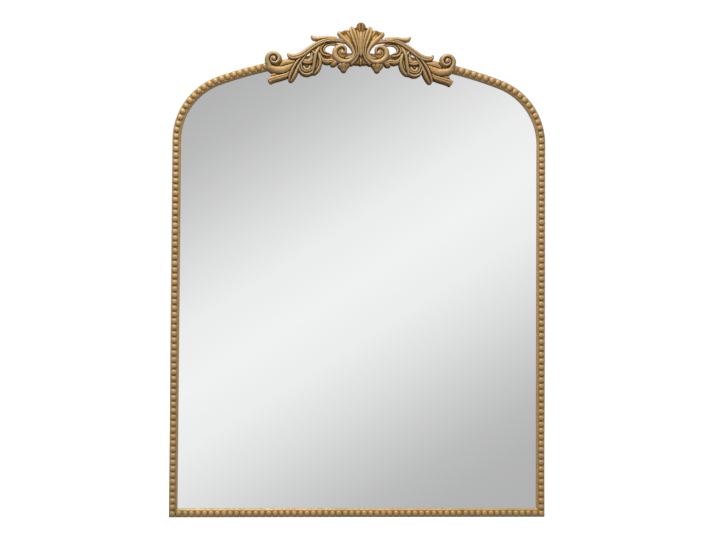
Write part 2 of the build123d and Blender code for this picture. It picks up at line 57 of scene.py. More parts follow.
# The moulding: across from the outer edge, forward of the glass and how deep each point lies in the carving,
# where 0 is a rubbed edge, 0.5 is plain surface and 1 is the bottom of a hollow
# On the slope down to the glass the tones fall low, so its lip is pale: partly a rubbed edge, partly a
# painted highlight along the lip.
moulding_points = (
    (0.0, -5.0, 0.55), (0.0, 5.2, 0.46), (0.12, 5.9, 0.38), (0.48, 6.5, 0.3), (1.05, 6.9, 0.26),
    (1.6, 7.0, 0.28), (2.1, 6.8, 0.34), (7.4, 6.7, 0.54), (12.7, 6.8, 0.54), (13.15, 7.0, 0.52),
    (13.6, 6.95, 0.56), (14.3, 6.75, 0.5), (15.1, 6.35, 0.42), (15.9, 5.7, 0.3), (16.5, 4.9, 0.16),
    (16.95, 3.95, 0.1), (17.2, 3.3, 0.14), (17.3, 2.7, 0.4), (17.3, 0.0, 0.5), (10.5, 0.0, 0.7),
    (10.5, -5.0, 0.6))
bed_height = 7 * mm
bead_line = 7.4 * mm
bead_pitch = 13.1 * mm
bead_length = 12.6 * mm
bead_width = 12.7 * mm
bead_height = 3.5 * mm
bead_sink = 0.4 * mm
bead_fullness = (0.95, 0.9, 0.75)
bead_segments, bead_rings = 12, 6
shoulder_steps, head_steps = 24, 64

# How much the carver's beads differ, as shares of their size, and in place, turn and skin
bead_length_shares, bead_height_shares, bead_width_shares = (0.93, 1.04), (0.9, 1.0), (0.94, 1.0)
bead_slip = 0.3 * mm
bead_stray = 0.12 * mm
bead_twist = radians(5)
bead_tooling = 0.12 * mm
bead_tooling_scale = 400

# How deep each spot of a bead lies in the carving: its crown, rubbed pale and partly a painted highlight, and
# its ends next to other beads and its foot, darker with umber wash and painted shade between the beads and
# along the bed
bead_crown, bead_end_wash_and_shade, bead_end_start, bead_foot_wash_and_shade = 0.27, 0.5, 0.45, 0.22

# The crest, as shares: along of the reach, up of the rise, width of the rise, height of the depth
crest_reach = 200 * mm
crest_rise = 62 * mm
crest_depth = 16 * mm

bud_shares = ((0, 0.62, 0.18, 0.72), (0, 0.70, 0.25, 0.86), (0, 0.78, 0.31, 0.95), (0, 0.845, 0.32, 0.97))
column_shares = ((0, 0.70, 0.32, 0.80), (0, 0.56, 0.27, 0.89), (0, 0.44, 0.21, 0.94), (0, 0.16, 0.14, 0.96),
                 (0, -0.06, 0.11, 0.92), (0, -0.14, 0.07, 0.8))
shell_back_shares = ((0, 0.79, 0.54, 0.48), (0, 0.70, 0.76, 0.5), (0, 0.62, 0.84, 0.5))
side_back_shares = ((0.126, 0.40, 0.32, 0.56), (0.144, 0.48, 0.36, 0.62), (0.173, 0.665, 0.36, 0.62))
petal_shares = ((0, -0.22, 0.04, 0.62), (0, -0.30, 0.08, 0.72), (0, -0.38, 0.08, 0.66))
inner_leaf_shares = ((0.090, 0.795, 0.16, 0.62), (0.080, 0.66, 0.24, 0.76), (0.058, 0.43, 0.23, 0.86),
                     (0.038, 0.17, 0.16, 0.89), (0.034, 0.0, 0.145, 0.89), (0.040, -0.10, 0.14, 0.87),
                     (0.062, -0.23, 0.15, 0.80), (0.100, -0.35, 0.13, 0.70))
mid_leaf_shares = ((0.148, 0.61, 0.26, 0.64), (0.118, 0.50, 0.25, 0.69), (0.088, 0.30, 0.20, 0.72),
                   (0.064, 0.10, 0.14, 0.76))
outer_leaf_shares = ((0.211, 0.635, 0.17, 0.67), (0.179, 0.50, 0.19, 0.73), (0.134, 0.35, 0.19, 0.77),
                     (0.094, 0.18, 0.15, 0.79), (0.072, 0.0, 0.13, 0.80), (0.075, -0.11, 0.13, 0.80),
                     (0.094, -0.22, 0.14, 0.80), (0.132, -0.30, 0.16, 0.81), (0.185, -0.305, 0.18, 0.82),
                     (0.233, -0.235, 0.19, 0.82), (0.266, -0.08, 0.19, 0.80), (0.259, 0.092, 0.18, 0.77),
                     (0.224, 0.192, 0.15, 0.75), (0.185, 0.208, 0.12, 0.73), (0.158, 0.138, 0.10, 0.70),
                     (0.157, 0.042, 0.09, 0.68), (0.169, -0.028, 0.08, 0.66))
curl_back_shares = ((0.098, -0.12, 0.06, 0.70), (0.122, -0.185, 0.08, 0.74), (0.155, -0.185, 0.08, 0.70))
foot_shares = ((0.180, -0.36, 0.14, 0.72), (0.180, -0.39, 0.40, 0.76), (0.180, -0.46, 0.34, 0.70),
               (0.180, -0.53, 0.22, 0.60))
palmette_web_shares = ((0, 0.62, 0.84, 0.5), (0, 0.54, 1.06, 0.52), (0, 0.44, 1.10, 0.54),
                       (0, 0.33, 0.94, 0.58), (0, 0.22, 0.72, 0.64), (0, 0.10, 0.60, 0.66),
                       (0, -0.05, 0.52, 0.64), (0, -0.18, 0.60, 0.6), (0, -0.34, 0.86, 0.5))
stem_shares = ((0.125, 0.32, 0.11, 0.58), (0.224, 0.41, 0.15, 0.68), (0.304, 0.44, 0.16, 0.74),
               (0.385, 0.40, 0.17, 0.76), (0.464, 0.29, 0.18, 0.76), (0.534, 0.165, 0.20, 0.76),
               (0.598, 0.05, 0.21, 0.75), (0.652, 0.0, 0.20, 0.73), (0.701, 0.0, 0.19, 0.70),
               (0.730, 0.05, 0.17, 0.66), (0.742, 0.12, 0.10, 0.60))
flick_shares = ((0.252, 0.50, 0.09, 0.59), (0.346, 0.52, 0.12, 0.69), (0.420, 0.505, 0.14, 0.72),
                (0.466, 0.53, 0.16, 0.69), (0.484, 0.60, 0.10, 0.60))
down_leaf_shares = ((0.588, -0.02, 0.15, 0.60), (0.640, -0.17, 0.22, 0.66), (0.690, -0.36, 0.27, 0.70),
                    (0.726, -0.53, 0.27, 0.69), (0.750, -0.64, 0.24, 0.64), (0.761, -0.70, 0.20, 0.58))
tail_shares = ((0.704, -0.23, 0.17, 0.50), (0.768, -0.32, 0.26, 0.56), (0.838, -0.36, 0.28, 0.62),
               (0.905, -0.31, 0.26, 0.66), (0.955, -0.20, 0.22, 0.68))
hump_shares = ((0.700, -0.16, 0.14, 0.48), (0.745, -0.15, 0.20, 0.50), (0.795, -0.15, 0.22, 0.50),
               (0.835, -0.20, 0.18, 0.45))
low_web_shares = ((0.790, -0.47, 0.10, 0.42), (0.860, -0.475, 0.12, 0.44), (0.920, -0.465, 0.10, 0.44),
                  (0.955, -0.47, 0.08, 0.42))
low_leaf_shares = ((0.735, -0.44, 0.12, 0.46), (0.795, -0.545, 0.17, 0.54), (0.860, -0.575, 0.19, 0.58),
                   (0.920, -0.585, 0.196, 0.58), (0.965, -0.60, 0.20, 0.57), (0.996, -0.63, 0.20, 0.54))
inner_band_shares = ((0.215, 0.245, 0.09, 0.44), (0.277, 0.30, 0.10, 0.44), (0.327, 0.31, 0.12, 0.47),
                     (0.372, 0.25, 0.16, 0.52), (0.394, 0.13, 0.19, 0.56), (0.378, 0.01, 0.18, 0.56),
                     (0.332, -0.04, 0.13, 0.50))
band_web_shares = ((0.412, 0.20, 0.16, 0.40), (0.408, 0.05, 0.22, 0.40), (0.402, -0.12, 0.22, 0.40))
drop_leaf_shares = ((0.405, 0.30, 0.15, 0.53), (0.438, 0.15, 0.14, 0.62), (0.464, 0.02, 0.12, 0.72),
                    (0.480, -0.17, 0.12, 0.74), (0.496, -0.36, 0.12, 0.70), (0.511, -0.50, 0.11, 0.64),
                    (0.523, -0.60, 0.10, 0.55))
drop_rib_shares = ((0.512, 0.20, 0.08, 0.52), (0.488, 0.10, 0.09, 0.60), (0.468, -0.02, 0.09, 0.66))
second_leaf_shares = ((0.440, 0.10, 0.09, 0.50), (0.428, -0.08, 0.12, 0.58), (0.424, -0.25, 0.13, 0.60),
                      (0.438, -0.41, 0.12, 0.56), (0.466, -0.535, 0.11, 0.50), (0.498, -0.61, 0.09, 0.45))
drop_web_shares = ((0.452, -0.02, 0.14, 0.44), (0.455, -0.20, 0.26, 0.46), (0.464, -0.38, 0.26, 0.46),
                   (0.488, -0.51, 0.20, 0.44), (0.508, -0.59, 0.12, 0.40))
hook_shares = ((0.425, 0, 0.10, 0.53), (0.405, -0.18, 0.13, 0.56), (0.362, -0.26, 0.15, 0.56),
               (0.309, -0.26, 0.16, 0.56), (0.279, -0.31, 0.18, 0.56))
lobe_shares = ((0.246, -0.27, 0.14, 0.56), (0.285, -0.35, 0.16, 0.53), (0.305, -0.37, 0.11, 0.44))
curl_shares = ((0.425, 0.23, 0.09, 0.53), (0.478, 0.12, 0.11, 0.53), (0.508, 0.0, 0.12, 0.53),
               (0.514, -0.13, 0.14, 0.56), (0.550, -0.22, 0.16, 0.56))
shell_top_shares = ((0.632, -0.10, 0.11, 0.53), (0.600, -0.18, 0.17, 0.58), (0.545, -0.23, 0.18, 0.58),
                    (0.487, -0.20, 0.10, 0.56))
shell_shares = ((0.629, -0.22, 0.10, 0.56), (0.643, -0.36, 0.14, 0.64), (0.629, -0.51, 0.16, 0.68),
                (0.587, -0.585, 0.17, 0.68), (0.536, -0.56, 0.16, 0.64), (0.512, -0.45, 0.13, 0.59))
shell_ridge_shares = ((0.604, -0.37, 0.09, 0.66), (0.592, -0.46, 0.11, 0.72), (0.560, -0.475, 0.11, 0.72),
                      (0.536, -0.39, 0.09, 0.66))
# A volute: centre, then start and end of radius, width and height, then start and length in turns
volute = ((0.896, 0.045), (0.236, 0.05), (0.18, 0.07), (0.70, 0.95), -0.09, 1.47)
# Bosses: along, up, radius and height
scroll_eye = (0.190, 0.005, 0.085, 0.70)
scroll_disc = (0.209, -0.01, 0.21, 0.56)
volute_disc = (0.889, 0.042, 0.24, 0.62)
volute_eye = (0.896, 0.045, 0.075, 0.96)
shell_disc = (0.573, -0.42, 0.23, 0.4)
volute_steps = 36
boss_profile_shares = ((1.0, 0.0), (1.0, 0.5), (0.86, 0.8), (0.6, 0.95), (0.3, 1.0))
# A limb's rounded end: how far past the last station, then the shares of width and height there
rounded_end_shares = ((0.46, 0.3, 0.62), (0.36, 0.62, 0.82), (0.2, 0.86, 0.94))
# The sections of limbs: how full a reed is, how deep its groove is cut at a limb's sides, how far its points
# crowd towards them, and how steeply a leaf's hollow falls
reed_fullness, side_groove, crowding = 0.7, 0.4, 0.35
dish_steps, dish_slope = 16, 1.4

# How the crest is worked over: the block's grain, its swelling and tool marks, and the passes of smoothing
# that finish it, and that make the soft and the worn shape which tell its hollows from its edges
carving_grain = 0.57 * mm
swelling = 0.14 * mm
tool_mark = 0.12 * mm
tool_mark_scale = 160
finishing_passes, soft_passes, worn_passes = 5, 2, 22

# The gold's tone: 0.5 is plain gold, less is rubbed bright, and hollows, low ground and stains take more
# umber wash; in the hollows and on low ground the wash is also painted shade
plain_gold = 0.5
rubbed_edges = 1.2
# How strongly hollows darken: umber wash together with painted shade in the grooves and under the limbs.
palmette_wash_and_shade, wing_wash_and_shade = 1.9, 2.7
# Low ground darkens with umber wash and painted shade, from this share of the depth down.
low_ground_share, low_ground_wash_and_shade = 0.4, 0.5
# Painted light from above: faces turned up are painted paler and undersides darker.
painted_top_light = 0.03
stain_wash = 0.5
back_wash, back_facing = 0.64, 0.6
# Stains: along, up and radius, on the bud and on the tips of the palmette's second lobes
palmette_stain_shares = ((0, 0.93, 0.3), (0.18, 0.72, 0.2), (-0.18, 0.72, 0.2))

# The back: board, hangers, screws and bumpers
board_back = 14 * mm
land_middle = 5.25 * mm
hanger_x = half_width - 30 * mm
hinge_y = 17.1 * mm
hinge_z = springing_z - 40 * mm
eye_width = 10 * mm
strap_width = 12 * mm
strap_length = 48 * mm
strap_gauge = 1.5 * mm
ring_wire = 1.5 * mm
ring_half_width = 12 * mm
ring_depth = 22 * mm
ring_corner = 3 * mm
corner_steps, bow_steps = 6, 12
strap_corner = 4 * mm
strap_edge = 0.2 * mm
eye_steps, eye_step = 20, radians(15)
# Turned pieces, as radius and distance out in mm
countersunk_profile = ((0.4, -16.0), (1.5, -14.0), (1.5, -1.6), (3.0, -0.05), (3.05, 0.1), (2.6, 0.22))
pan_head_profile = ((0.4, -8.0), (1.5, -6.0), (1.5, 0.0), (3.15, 0.0), (3.2, 0.7), (2.95, 1.3), (2.3, 1.8),
                    (1.2, 2.0))
bumper_profile = ((5.9, 0.0), (6.0, 0.3), (6.0, 4.2), (5.85, 5.3), (5.4, 6.2), (4.7, 6.75), (3.9, 6.95),
                  (2.0, 7.0))
strap_screw_drops = (10 * mm, 36 * mm)
board_screw_side_shares = (0.1, 0.55)
board_screw_head_shares = (0.36, 1.08)
board_screw_foot_shares = (-0.5, 0.5)
slot_length = 3.4 * mm
slot_width = 0.8 * mm
slot_depth = 0.9 * mm
bumper_inset = 25 * mm

# The studio
camera_place = (-0.1639, -3.0, 0.4077)
camera_turn = (radians(91.87), radians(-0.334), radians(-3.09))
lens_length, sensor_width = 73.38, 36
top_light_power, back_light_power = 49, 30
floor_reach, floor_drop = 9, 0.5 * mm
floor_tone, floor_glow = 0.8, 0.72
backdrop_tone = 0.79
# The sky in the glass darkens away from a slanting band: how fast along X and Z, where its middle lies, and
# its tones going away from there
band_slant = (3.0323077, 0, -4.7173077)
band_middle = -0.0449642
band_tones = ((0.0, 0.945), (0.2, 0.90), (0.385, 0.785), (0.554, 0.663), (0.742, 0.541), (0.885, 0.491),
              (1.0, 0.478))
# The sky's tones from straight below to straight above, and the one at eye level
level_tone = 0.77
rise_tones = ((0.0, 0.36), (0.25, 0.36), (0.4, level_tone), (0.6, level_tone), (0.75, 0.95), (1.0, 1.0))


# Finishes

def finish(name):
    """A new material, with its nodes, its shader and a short way to join two sockets."""
    material = bpy.data.materials.new(name)
    material.use_nodes = True
    nodes = material.node_tree.nodes
    return material, nodes, nodes["Principled BSDF"], material.node_tree.links.new


def grain(nodes, join, scale, detail=3.0, stretch=(1, 1, 1)):
    """Noise in the piece's own coordinates."""
    place = nodes.new("ShaderNodeTexCoord")
    fit = nodes.new("ShaderNodeMapping")
    fit.inputs["Scale"].default_value = stretch
    pattern = nodes.new("ShaderNodeTexNoise")
    pattern.inputs["Scale"].default_value = scale
    pattern.inputs["Detail"].default_value = detail
    join(place.outputs["Object"], fit.inputs["Vector"])
    join(fit.outputs["Vector"], pattern.inputs["Vector"])
    return pattern.outputs["Fac"]


def shades(nodes, join, factor, stops):
    """Colours along a factor, from (place, colour) stops. One number stands for a grey."""
    ramp = nodes.new("ShaderNodeValToRGB")
    marks = ramp.color_ramp.elements
    while len(marks) < len(stops):
        marks.new(0.5)
    for mark, (place, colour) in zip(marks, stops):
        mark.position = place
        mark.color = (colour,) * 3 + (1,) if isinstance(colour, (int, float)) else (*colour, 1)
    join(factor, ramp.inputs["Fac"])
    return ramp.outputs["Color"]


def spread(nodes, join, factor, low, high):
    """A factor of 0 to 1 spread from low to high."""
    to_range = nodes.new("ShaderNodeMapRange")
    to_range.inputs["To Min"].default_value = low
    to_range.inputs["To Max"].default_value = high
    join(factor, to_range.inputs["Value"])
    return to_range.outputs["Result"]


def sums(nodes, join, how, *terms):
    """A math node on numbers and sockets."""
    step = nodes.new("ShaderNodeMath")
    step.operation = how
    for socket, value in zip(step.inputs, terms):
        if isinstance(value, (int, float)):
            socket.default_value = value
        else:
            join(value, socket)
    return step.outputs["Value"]


def blended(nodes, join, how, factor, first, second):
    """Two colours mixed."""
    mix = nodes.new("ShaderNodeMix")
    mix.data_type = "RGBA"
    mix.blend_type = how
    for socket, value in ((mix.inputs[0], factor), (mix.inputs[6], first), (mix.inputs[7], second)):
        if isinstance(value, (int, float, tuple)):
            socket.default_value = value
        else:
            join(value, socket)
    return mix.outputs[2]


def relief(nodes, join, shader, heights):
    """Bumps laid over each other, from (height, depth in metres, strength)."""
    under = None
    for height, depth, strength in heights:
        bump = nodes.new("ShaderNodeBump")
        bump.inputs["Distance"].default_value = depth
        bump.inputs["Strength"].default_value = strength
        join(height, bump.inputs["Height"])
        if under:
            join(under, bump.inputs["Normal"])
        under = bump.outputs["Normal"]
    join(under, shader.inputs["Normal"])


def antique_gold(name, patchy, tint):
    """Gold leaf rubbed bright on its edges, with an umber wash lying in the hollows, which also paints the
    shade there.
    """
    material, nodes, shader, join = finish(name)
    depth = nodes.new("ShaderNodeAttribute")
    depth.attribute_name = "hollow"
    mottle = grain(nodes, join, 210, 4)
    drift = grain(nodes, join, 22, 2)
    fine = grain(nodes, join, 1100, 2)
    uneven = spread(nodes, join, mottle, -patchy, patchy)
    wash_and_shade_tone = sums(nodes, join, "ADD", depth.outputs["Fac"], uneven)
    gold = shades(nodes, join, wash_and_shade_tone, (
        (0.0, (0.46, 0.38, 0.28)), (0.14, (0.54, 0.42, 0.275)), (0.3, (0.58, 0.41, 0.22)),
        (0.5, (0.53, 0.33, 0.125)), (0.64, (0.37, 0.195, 0.036)), (0.78, (0.16, 0.072, 0.006)),
        (0.92, (0.04, 0.016, 0.001))))
    casts = ((0.3, (0.84, 0.88, 0.82)), (0.5, (1, 1, 1)), (0.7, (1.0, 0.93, 0.90)))
    tone = shades(nodes, join, drift, tuple(
        (place, tuple(a * b for a, b in zip(cast, tint))) for place, cast in casts))
    join(blended(nodes, join, "MULTIPLY", 1.0, gold, tone), shader.inputs["Base Color"])
    join(shades(nodes, join, wash_and_shade_tone, ((0.4, 0.66), (0.85, 0.2))), shader.inputs["Metallic"])
    rough = sums(nodes, join, "ADD", spread(nodes, join, mottle, 0.42, 0.62),
                 spread(nodes, join, depth.outputs["Fac"], 0.0, 0.22))
    join(rough, shader.inputs["Roughness"])
    shader.inputs["Specular IOR Level"].default_value = 0.2
    relief(nodes, join, shader, ((mottle, 0.4 * mm, 0.2), (fine, 0.1 * mm, 0.2)))
    return material


def silvering():
    """Silvered float glass: clear and flat, with the faintest drift in its tint."""
    material, nodes, shader, join = finish("silvered_glass")
    cloud = grain(nodes, join, 3.0, 2)
    join(shades(nodes, join, cloud, ((0.3, (0.925, 0.93, 0.935)), (0.7, (0.935, 0.937, 0.94)))),
         shader.inputs["Base Color"])
    join(spread(nodes, join, grain(nodes, join, 9.0, 3), 0.0, 0.02), shader.inputs["Roughness"])
    shader.inputs["Metallic"].default_value = 1.0
    return material


def fibreboard():
    """Raw brown fibreboard with short fibres and a few darker specks."""
    material, nodes, shader, join = finish("raw_fibreboard")
    fibres = grain(nodes, join, 420, 6, (1, 1, 3))
    specks = grain(nodes, join, 900, 2)
    blot = grain(nodes, join, 9, 3)
    tan = shades(nodes, join, fibres, ((0.3, (0.20, 0.125, 0.066)), (0.5, (0.30, 0.195, 0.108)),
                                       (0.7, (0.40, 0.275, 0.16))))
    dark = shades(nodes, join, specks, ((0.28, (0.45, 0.42, 0.4)), (0.36, (1, 1, 1))))
    aged = shades(nodes, join, blot, ((0.3, (0.95, 0.95, 0.95)), (0.7, (1.03, 1.02, 1.0))))
    speckled = blended(nodes, join, "MULTIPLY", 1.0, tan, dark)
    join(blended(nodes, join, "MULTIPLY", 1.0, speckled, aged), shader.inputs["Base Color"])
    join(spread(nodes, join, fibres, 0.68, 0.9), shader.inputs["Roughness"])
    relief(nodes, join, shader, ((fibres, 0.25 * mm, 0.5), (specks, 0.1 * mm, 0.4)))
    return material


def plated(name, light, dark, roughness):
    """Plated steel with fine scratches and a little tarnish."""
    material, nodes, shader, join = finish(name)
    scratch = grain(nodes, join, 1500, 3, (1, 1, 0.15))
    tarnish = grain(nodes, join, 160, 4)
    join(shades(nodes, join, tarnish, ((0.35, light), (0.7, dark))), shader.inputs["Base Color"])
    join(spread(nodes, join, scratch, roughness - 0.08, roughness + 0.14), shader.inputs["Roughness"])
    shader.inputs["Metallic"].default_value = 1.0
    relief(nodes, join, shader, ((scratch, 0.05 * mm, 0.3),))
    return material


def black_rubber(name, tone):
    """Matt rubber or foam with a fine pebbled skin."""
    material, nodes, shader, join = finish(name)
    pebble = grain(nodes, join, 1300, 3)
    dust = grain(nodes, join, 90, 3)
    join(shades(nodes, join, dust, ((0.35, tone), (0.75, tone * 1.9))), shader.inputs["Base Color"])
    join(spread(nodes, join, pebble, 0.55, 0.85), shader.inputs["Roughness"])
    relief(nodes, join, shader, ((pebble, 0.15 * mm, 0.4),))
    return material


def beech():
    """Pale beech, with grain along the dowel."""
    material, nodes, shader, join = finish("beech")
    rings = grain(nodes, join, 900, 4, (1, 1, 0.08))
    join(shades(nodes, join, rings, ((0.35, (0.42, 0.27, 0.14)), (0.65, (0.60, 0.43, 0.25)))),
         shader.inputs["Base Color"])
    join(spread(nodes, join, rings, 0.5, 0.7), shader.inputs["Roughness"])
    relief(nodes, join, shader, ((rings, 0.08 * mm, 0.3),))
    return material


moulding_gold = antique_gold("moulding_gold", 0.10, (1.0, 1.0, 1.0))
crest_gold = antique_gold("crest_gold", 0.05, (0.94, 0.945, 0.98))
zinc = plated("zinc_plate", (0.66, 0.67, 0.68), (0.44, 0.44, 0.43), 0.3)
brass = plated("brass_plate", (0.78, 0.56, 0.24), (0.50, 0.34, 0.13), 0.28)
rubber = black_rubber("bumper_rubber", 0.03)


# Making pieces

def mesh_of(name, work):
    """A mesh from a bmesh, which is freed."""
    mesh = bpy.data.meshes.new(name)
    work.to_mesh(mesh)
    work.free()
    return mesh


def taken_up(work, mesh):
    """A mesh added to a bmesh, and then removed."""
    work.from_mesh(mesh)
    bpy.data.meshes.remove(mesh)


def placed(name, data):
    """A new object in the scene."""
    made = bpy.data.objects.new(name, data)
    bpy.context.scene.collection.objects.link(made)
    return made


def shaped(made):
    """The mesh that an object comes to, with its modifiers or its wire's thickness."""
    return bpy.data.meshes.new_from_object(made.evaluated_get(bpy.context.evaluated_depsgraph_get()))


def cleared(made):
    """An object and its mesh taken away."""
    mesh = made.data
    bpy.data.objects.remove(made)
    bpy.data.meshes.remove(mesh)


def piece(name, work, material, body="mirror", sharp=radians(40)):
    """A finished piece from a bmesh, riding on its body."""
    mesh = mesh_of(name, work)
    mesh.materials.append(material)
    mesh.shade_smooth()
    mesh.set_sharp_from_angle(angle=sharp)
    made = placed(name, mesh)
    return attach(made, body)


def side_name(side):
    return "left" if side == left else "right"


def moulding_end(work, outer_x, way, z):
    """The moulding's section as one face, at a height, with its carving depth on each corner."""
    depth = work.verts.layers.float.get("hollow") or work.verts.layers.float.new("hollow")
    corners = []
    for across, forward, hollow in moulding_points:
        corner = work.verts.new((outer_x + way * across * mm, -forward * mm, z))
        corner[depth] = hollow
        corners.append(corner)
    return work.faces.new(corners)


def drawn_out(work, face, move, first=False):
    """The face extruded, its far end moved by a matrix. Gives the far face. The first one stays as an end."""
    grown = bmesh.ops.extrude_face_region(work, geom=[face])["geom"]
    far = [v for v in grown if isinstance(v, bmesh.types.BMVert)]
    bmesh.ops.transform(work, matrix=move, verts=far)
    if not first:
        bmesh.ops.delete(work, geom=[face], context="FACES_ONLY")
    return next(f for f in grown if isinstance(f, bmesh.types.BMFace))


def cut_square(work, point, outward):
    """Everything past a plane taken off, and the cut closed."""
    cut = bmesh.ops.bisect_plane(work, geom=work.verts[:] + work.edges[:] + work.faces[:], dist=hair,
                                 plane_co=point, plane_no=outward, clear_outer=True)["geom_cut"]
    edges = [e for e in cut if isinstance(e, bmesh.types.BMEdge)]
    bmesh.ops.holes_fill(work, edges=edges, sides=0)


def bead_hollow(spot):
    """How deep a spot of a bead lies in the carving, with the bead as a ball of radius 1 that faces -Y:
    darker at its ends and foot with umber wash and painted shade.
    """
    # Painted shade: each gap between beads is darker in its middle than at its sides, where shade falls.
    ends = max(abs(spot.x) - bead_end_start, 0) * (1 - 0.5 * abs(spot.z))
    return bead_crown + bead_end_wash_and_shade * ends + bead_foot_wash_and_shade * (1 + min(spot.y, 0))


def add_beads(work, places):
    """Carved beads, each a little different, sunk in the bed."""
    beads = bmesh.new()
    depth = beads.verts.layers.float.new("hollow")
    upright = Matrix.Rotation(radians(90), 4, "X")
    for x, z, turn in places:
        size = Matrix.Diagonal((bead_length / 2 * hand.uniform(*bead_length_shares),
                                bead_height * hand.uniform(*bead_height_shares),
                                bead_width / 2 * hand.uniform(*bead_width_shares), 1))
        slip = Matrix.Translation((hand.uniform(-bead_slip, bead_slip), 0,
                                   hand.uniform(-bead_stray, bead_stray)))
        twist = Matrix.Rotation(turn + hand.uniform(-bead_twist, bead_twist), 4, "Y")
        seat = Matrix.Translation((x, -bed_height, z))
        ball = bmesh.ops.create_uvsphere(beads, u_segments=bead_segments, v_segments=bead_rings, radius=1,
                                         matrix=upright)["verts"]
        for v in ball:
            v.co = [abs(way) ** power * (1 if way > 0 else -1) for way, power in zip(v.co, bead_fullness)]
            v[depth] = bead_hollow(v.co)
        bmesh.ops.transform(beads, matrix=seat @ twist @ slip @ size, verts=ball)
    cut_square(beads, (0, bead_sink - bed_height, 0), (0, 1, 0))
    for v in beads.verts:
        v.co += bead_tooling * noise.noise_vector(v.co * bead_tooling_scale)
    bmesh.ops.recalc_face_normals(beads, faces=beads.faces)
    taken_up(work, mesh_of("beads", beads))


def arch_place(along, inset):
    """X, Z and turn on the head of the arch."""
    turn = along / head_radius
    return (head_radius - inset) * sin(turn), head_centre_z + (head_radius - inset) * cos(turn), turn


def side_places():
    """Beads up the right stile, from the corner to the springing."""
    length = springing_z - bead_line
    count = round(length / bead_pitch - 1 / 2)
    step = length / (count + 1 / 2)
    return [(half_width - bead_line, bead_line + i * step, pi / 2) for i in range(1, count + 1)]


def foot_places():
    """Beads along the rail, from corner to corner."""
    length = 2 * (half_width - bead_line)
    count = round(length / bead_pitch)
    return [(i * length / count - length / 2, bead_line, 0) for i in range(count + 1)]


def arch_places():
    """Beads from the right springing round the shoulder to the crest's end."""
    shoulder = (shoulder_radius - bead_line) * (pi / 2 - head_half_angle)
    narrowed = (head_radius - bead_line) / head_radius
    head = (head_radius * head_half_angle - crest_reach - bead_pitch / 2) * narrowed
    count = round((shoulder + head) / bead_pitch)
    places = []
    for i in range(count + 1):
        gone = (i + 1 / 2) * (shoulder + head) / count
        if gone < shoulder:
            turn = pi / 2 - gone / shoulder * (pi / 2 - head_half_angle)
            reach = shoulder_radius - bead_line
            places.append((shoulder_centre_x + reach * sin(turn), springing_z + reach * cos(turn), turn))
        else:
            places.append(arch_place(head_radius * head_half_angle - (gone - shoulder) / narrowed, bead_line))
    return places


def flipped(places):
    """The same places on the left."""
    return [(-x, z, -turn) for x, z, turn in places]


def stile(name, side):
    """One side of the moulding, mitred at its foot."""
    work = bmesh.new()
    end = moulding_end(work, side * half_width, -side, 0)
    drawn_out(work, end, Matrix.Translation((0, 0, springing_z)), first=True)
    bmesh.ops.recalc_face_normals(work, faces=work.faces)
    cut_square(work, (side * half_width, 0, 0), (-side, 0, -1))
    add_beads(work, side_places() if side == right else flipped(side_places()))
    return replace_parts(piece(name + "_carved", work, moulding_gold), name)


def rail():
    """The foot of the moulding, mitred at both ends."""
    work = bmesh.new()
    end = moulding_end(work, half_width, -1, 0)
    bmesh.ops.rotate(work, verts=end.verts, cent=(half_width, 0, 0),
                     matrix=Matrix.Rotation(radians(90), 3, "Y"))
    drawn_out(work, end, Matrix.Translation((-2 * half_width, 0, 0)), first=True)
    bmesh.ops.recalc_face_normals(work, faces=work.faces)
    for side in (left, right):
        cut_square(work, (side * half_width, 0, 0), (side, 0, 1))
    add_beads(work, foot_places())
    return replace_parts(piece("bottom_rail_carved", work, moulding_gold), "bottom_rail")


def arch():
    """Shoulder, head and shoulder, spun one after the other from the left springing."""
    work = bmesh.new()
    face = moulding_end(work, -half_width, 1, springing_z)
    first = True
    turns = ((-shoulder_centre_x, springing_z, pi / 2 - head_half_angle, shoulder_steps),
             (0, head_centre_z, 2 * head_half_angle, head_steps),
             (shoulder_centre_x, springing_z, pi / 2 - head_half_angle, shoulder_steps))
    for x, z, angle, steps in turns:
        step = (Matrix.Translation((x, 0, z)) @ Matrix.Rotation(angle / steps, 4, "Y")
                @ Matrix.Translation((-x, 0, -z)))
        for _ in range(steps):
            face = drawn_out(work, face, step, first)
            first = False
    bmesh.ops.recalc_face_normals(work, faces=work.faces)
    add_beads(work, arch_places() + flipped(arch_places()))
    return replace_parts(piece("top_arch_carved", work, moulding_gold), "top_arch")


# The carved crest

def smoothed(knots, steps):
    """Stations on a smooth curve through the knots."""
    last = len(knots) - 1
    stations = []
    for i in range(last):
        near = (knots[max(i - 1, 0)], knots[i], knots[i + 1], knots[min(i + 2, last)])
        for step in range(steps):
            f = step / steps
            weights = ((2 * f ** 2 - f - f ** 3) / 2, (3 * f ** 3 - 5 * f ** 2 + 2) / 2,
                       (4 * f ** 2 - 3 * f ** 3 + f) / 2, (f ** 3 - f ** 2) / 2)
            stations.append(tuple(sum(w * v for w, v in zip(weights, values)) for values in zip(*near)))
    return stations + [knots[-1]]


def wound(centre, radii, widths, heights, start, turns):
    """Stations of a volute that winds in at a steady rate."""
    count = round(turns * volute_steps)
    stations = []
    for i in range(count + 1):
        f = i / count
        turn = 2 * pi * (start + f * turns)
        radius, width, height = (a + f * (b - a) for a, b in (radii, widths, heights))
        stations.append((centre[0] * crest_reach + radius * crest_rise * cos(turn),
                         centre[1] * crest_rise + radius * crest_rise * sin(turn),
                         width * crest_rise, height * crest_depth))
    return stations


def run_of(shares, steps=5):
    """Stations in metres from shares of the crest's reach, rise and depth."""
    return [(along * crest_reach, up * crest_rise, width * crest_rise, height * crest_depth)
            for along, up, width, height in smoothed(shares, steps)]


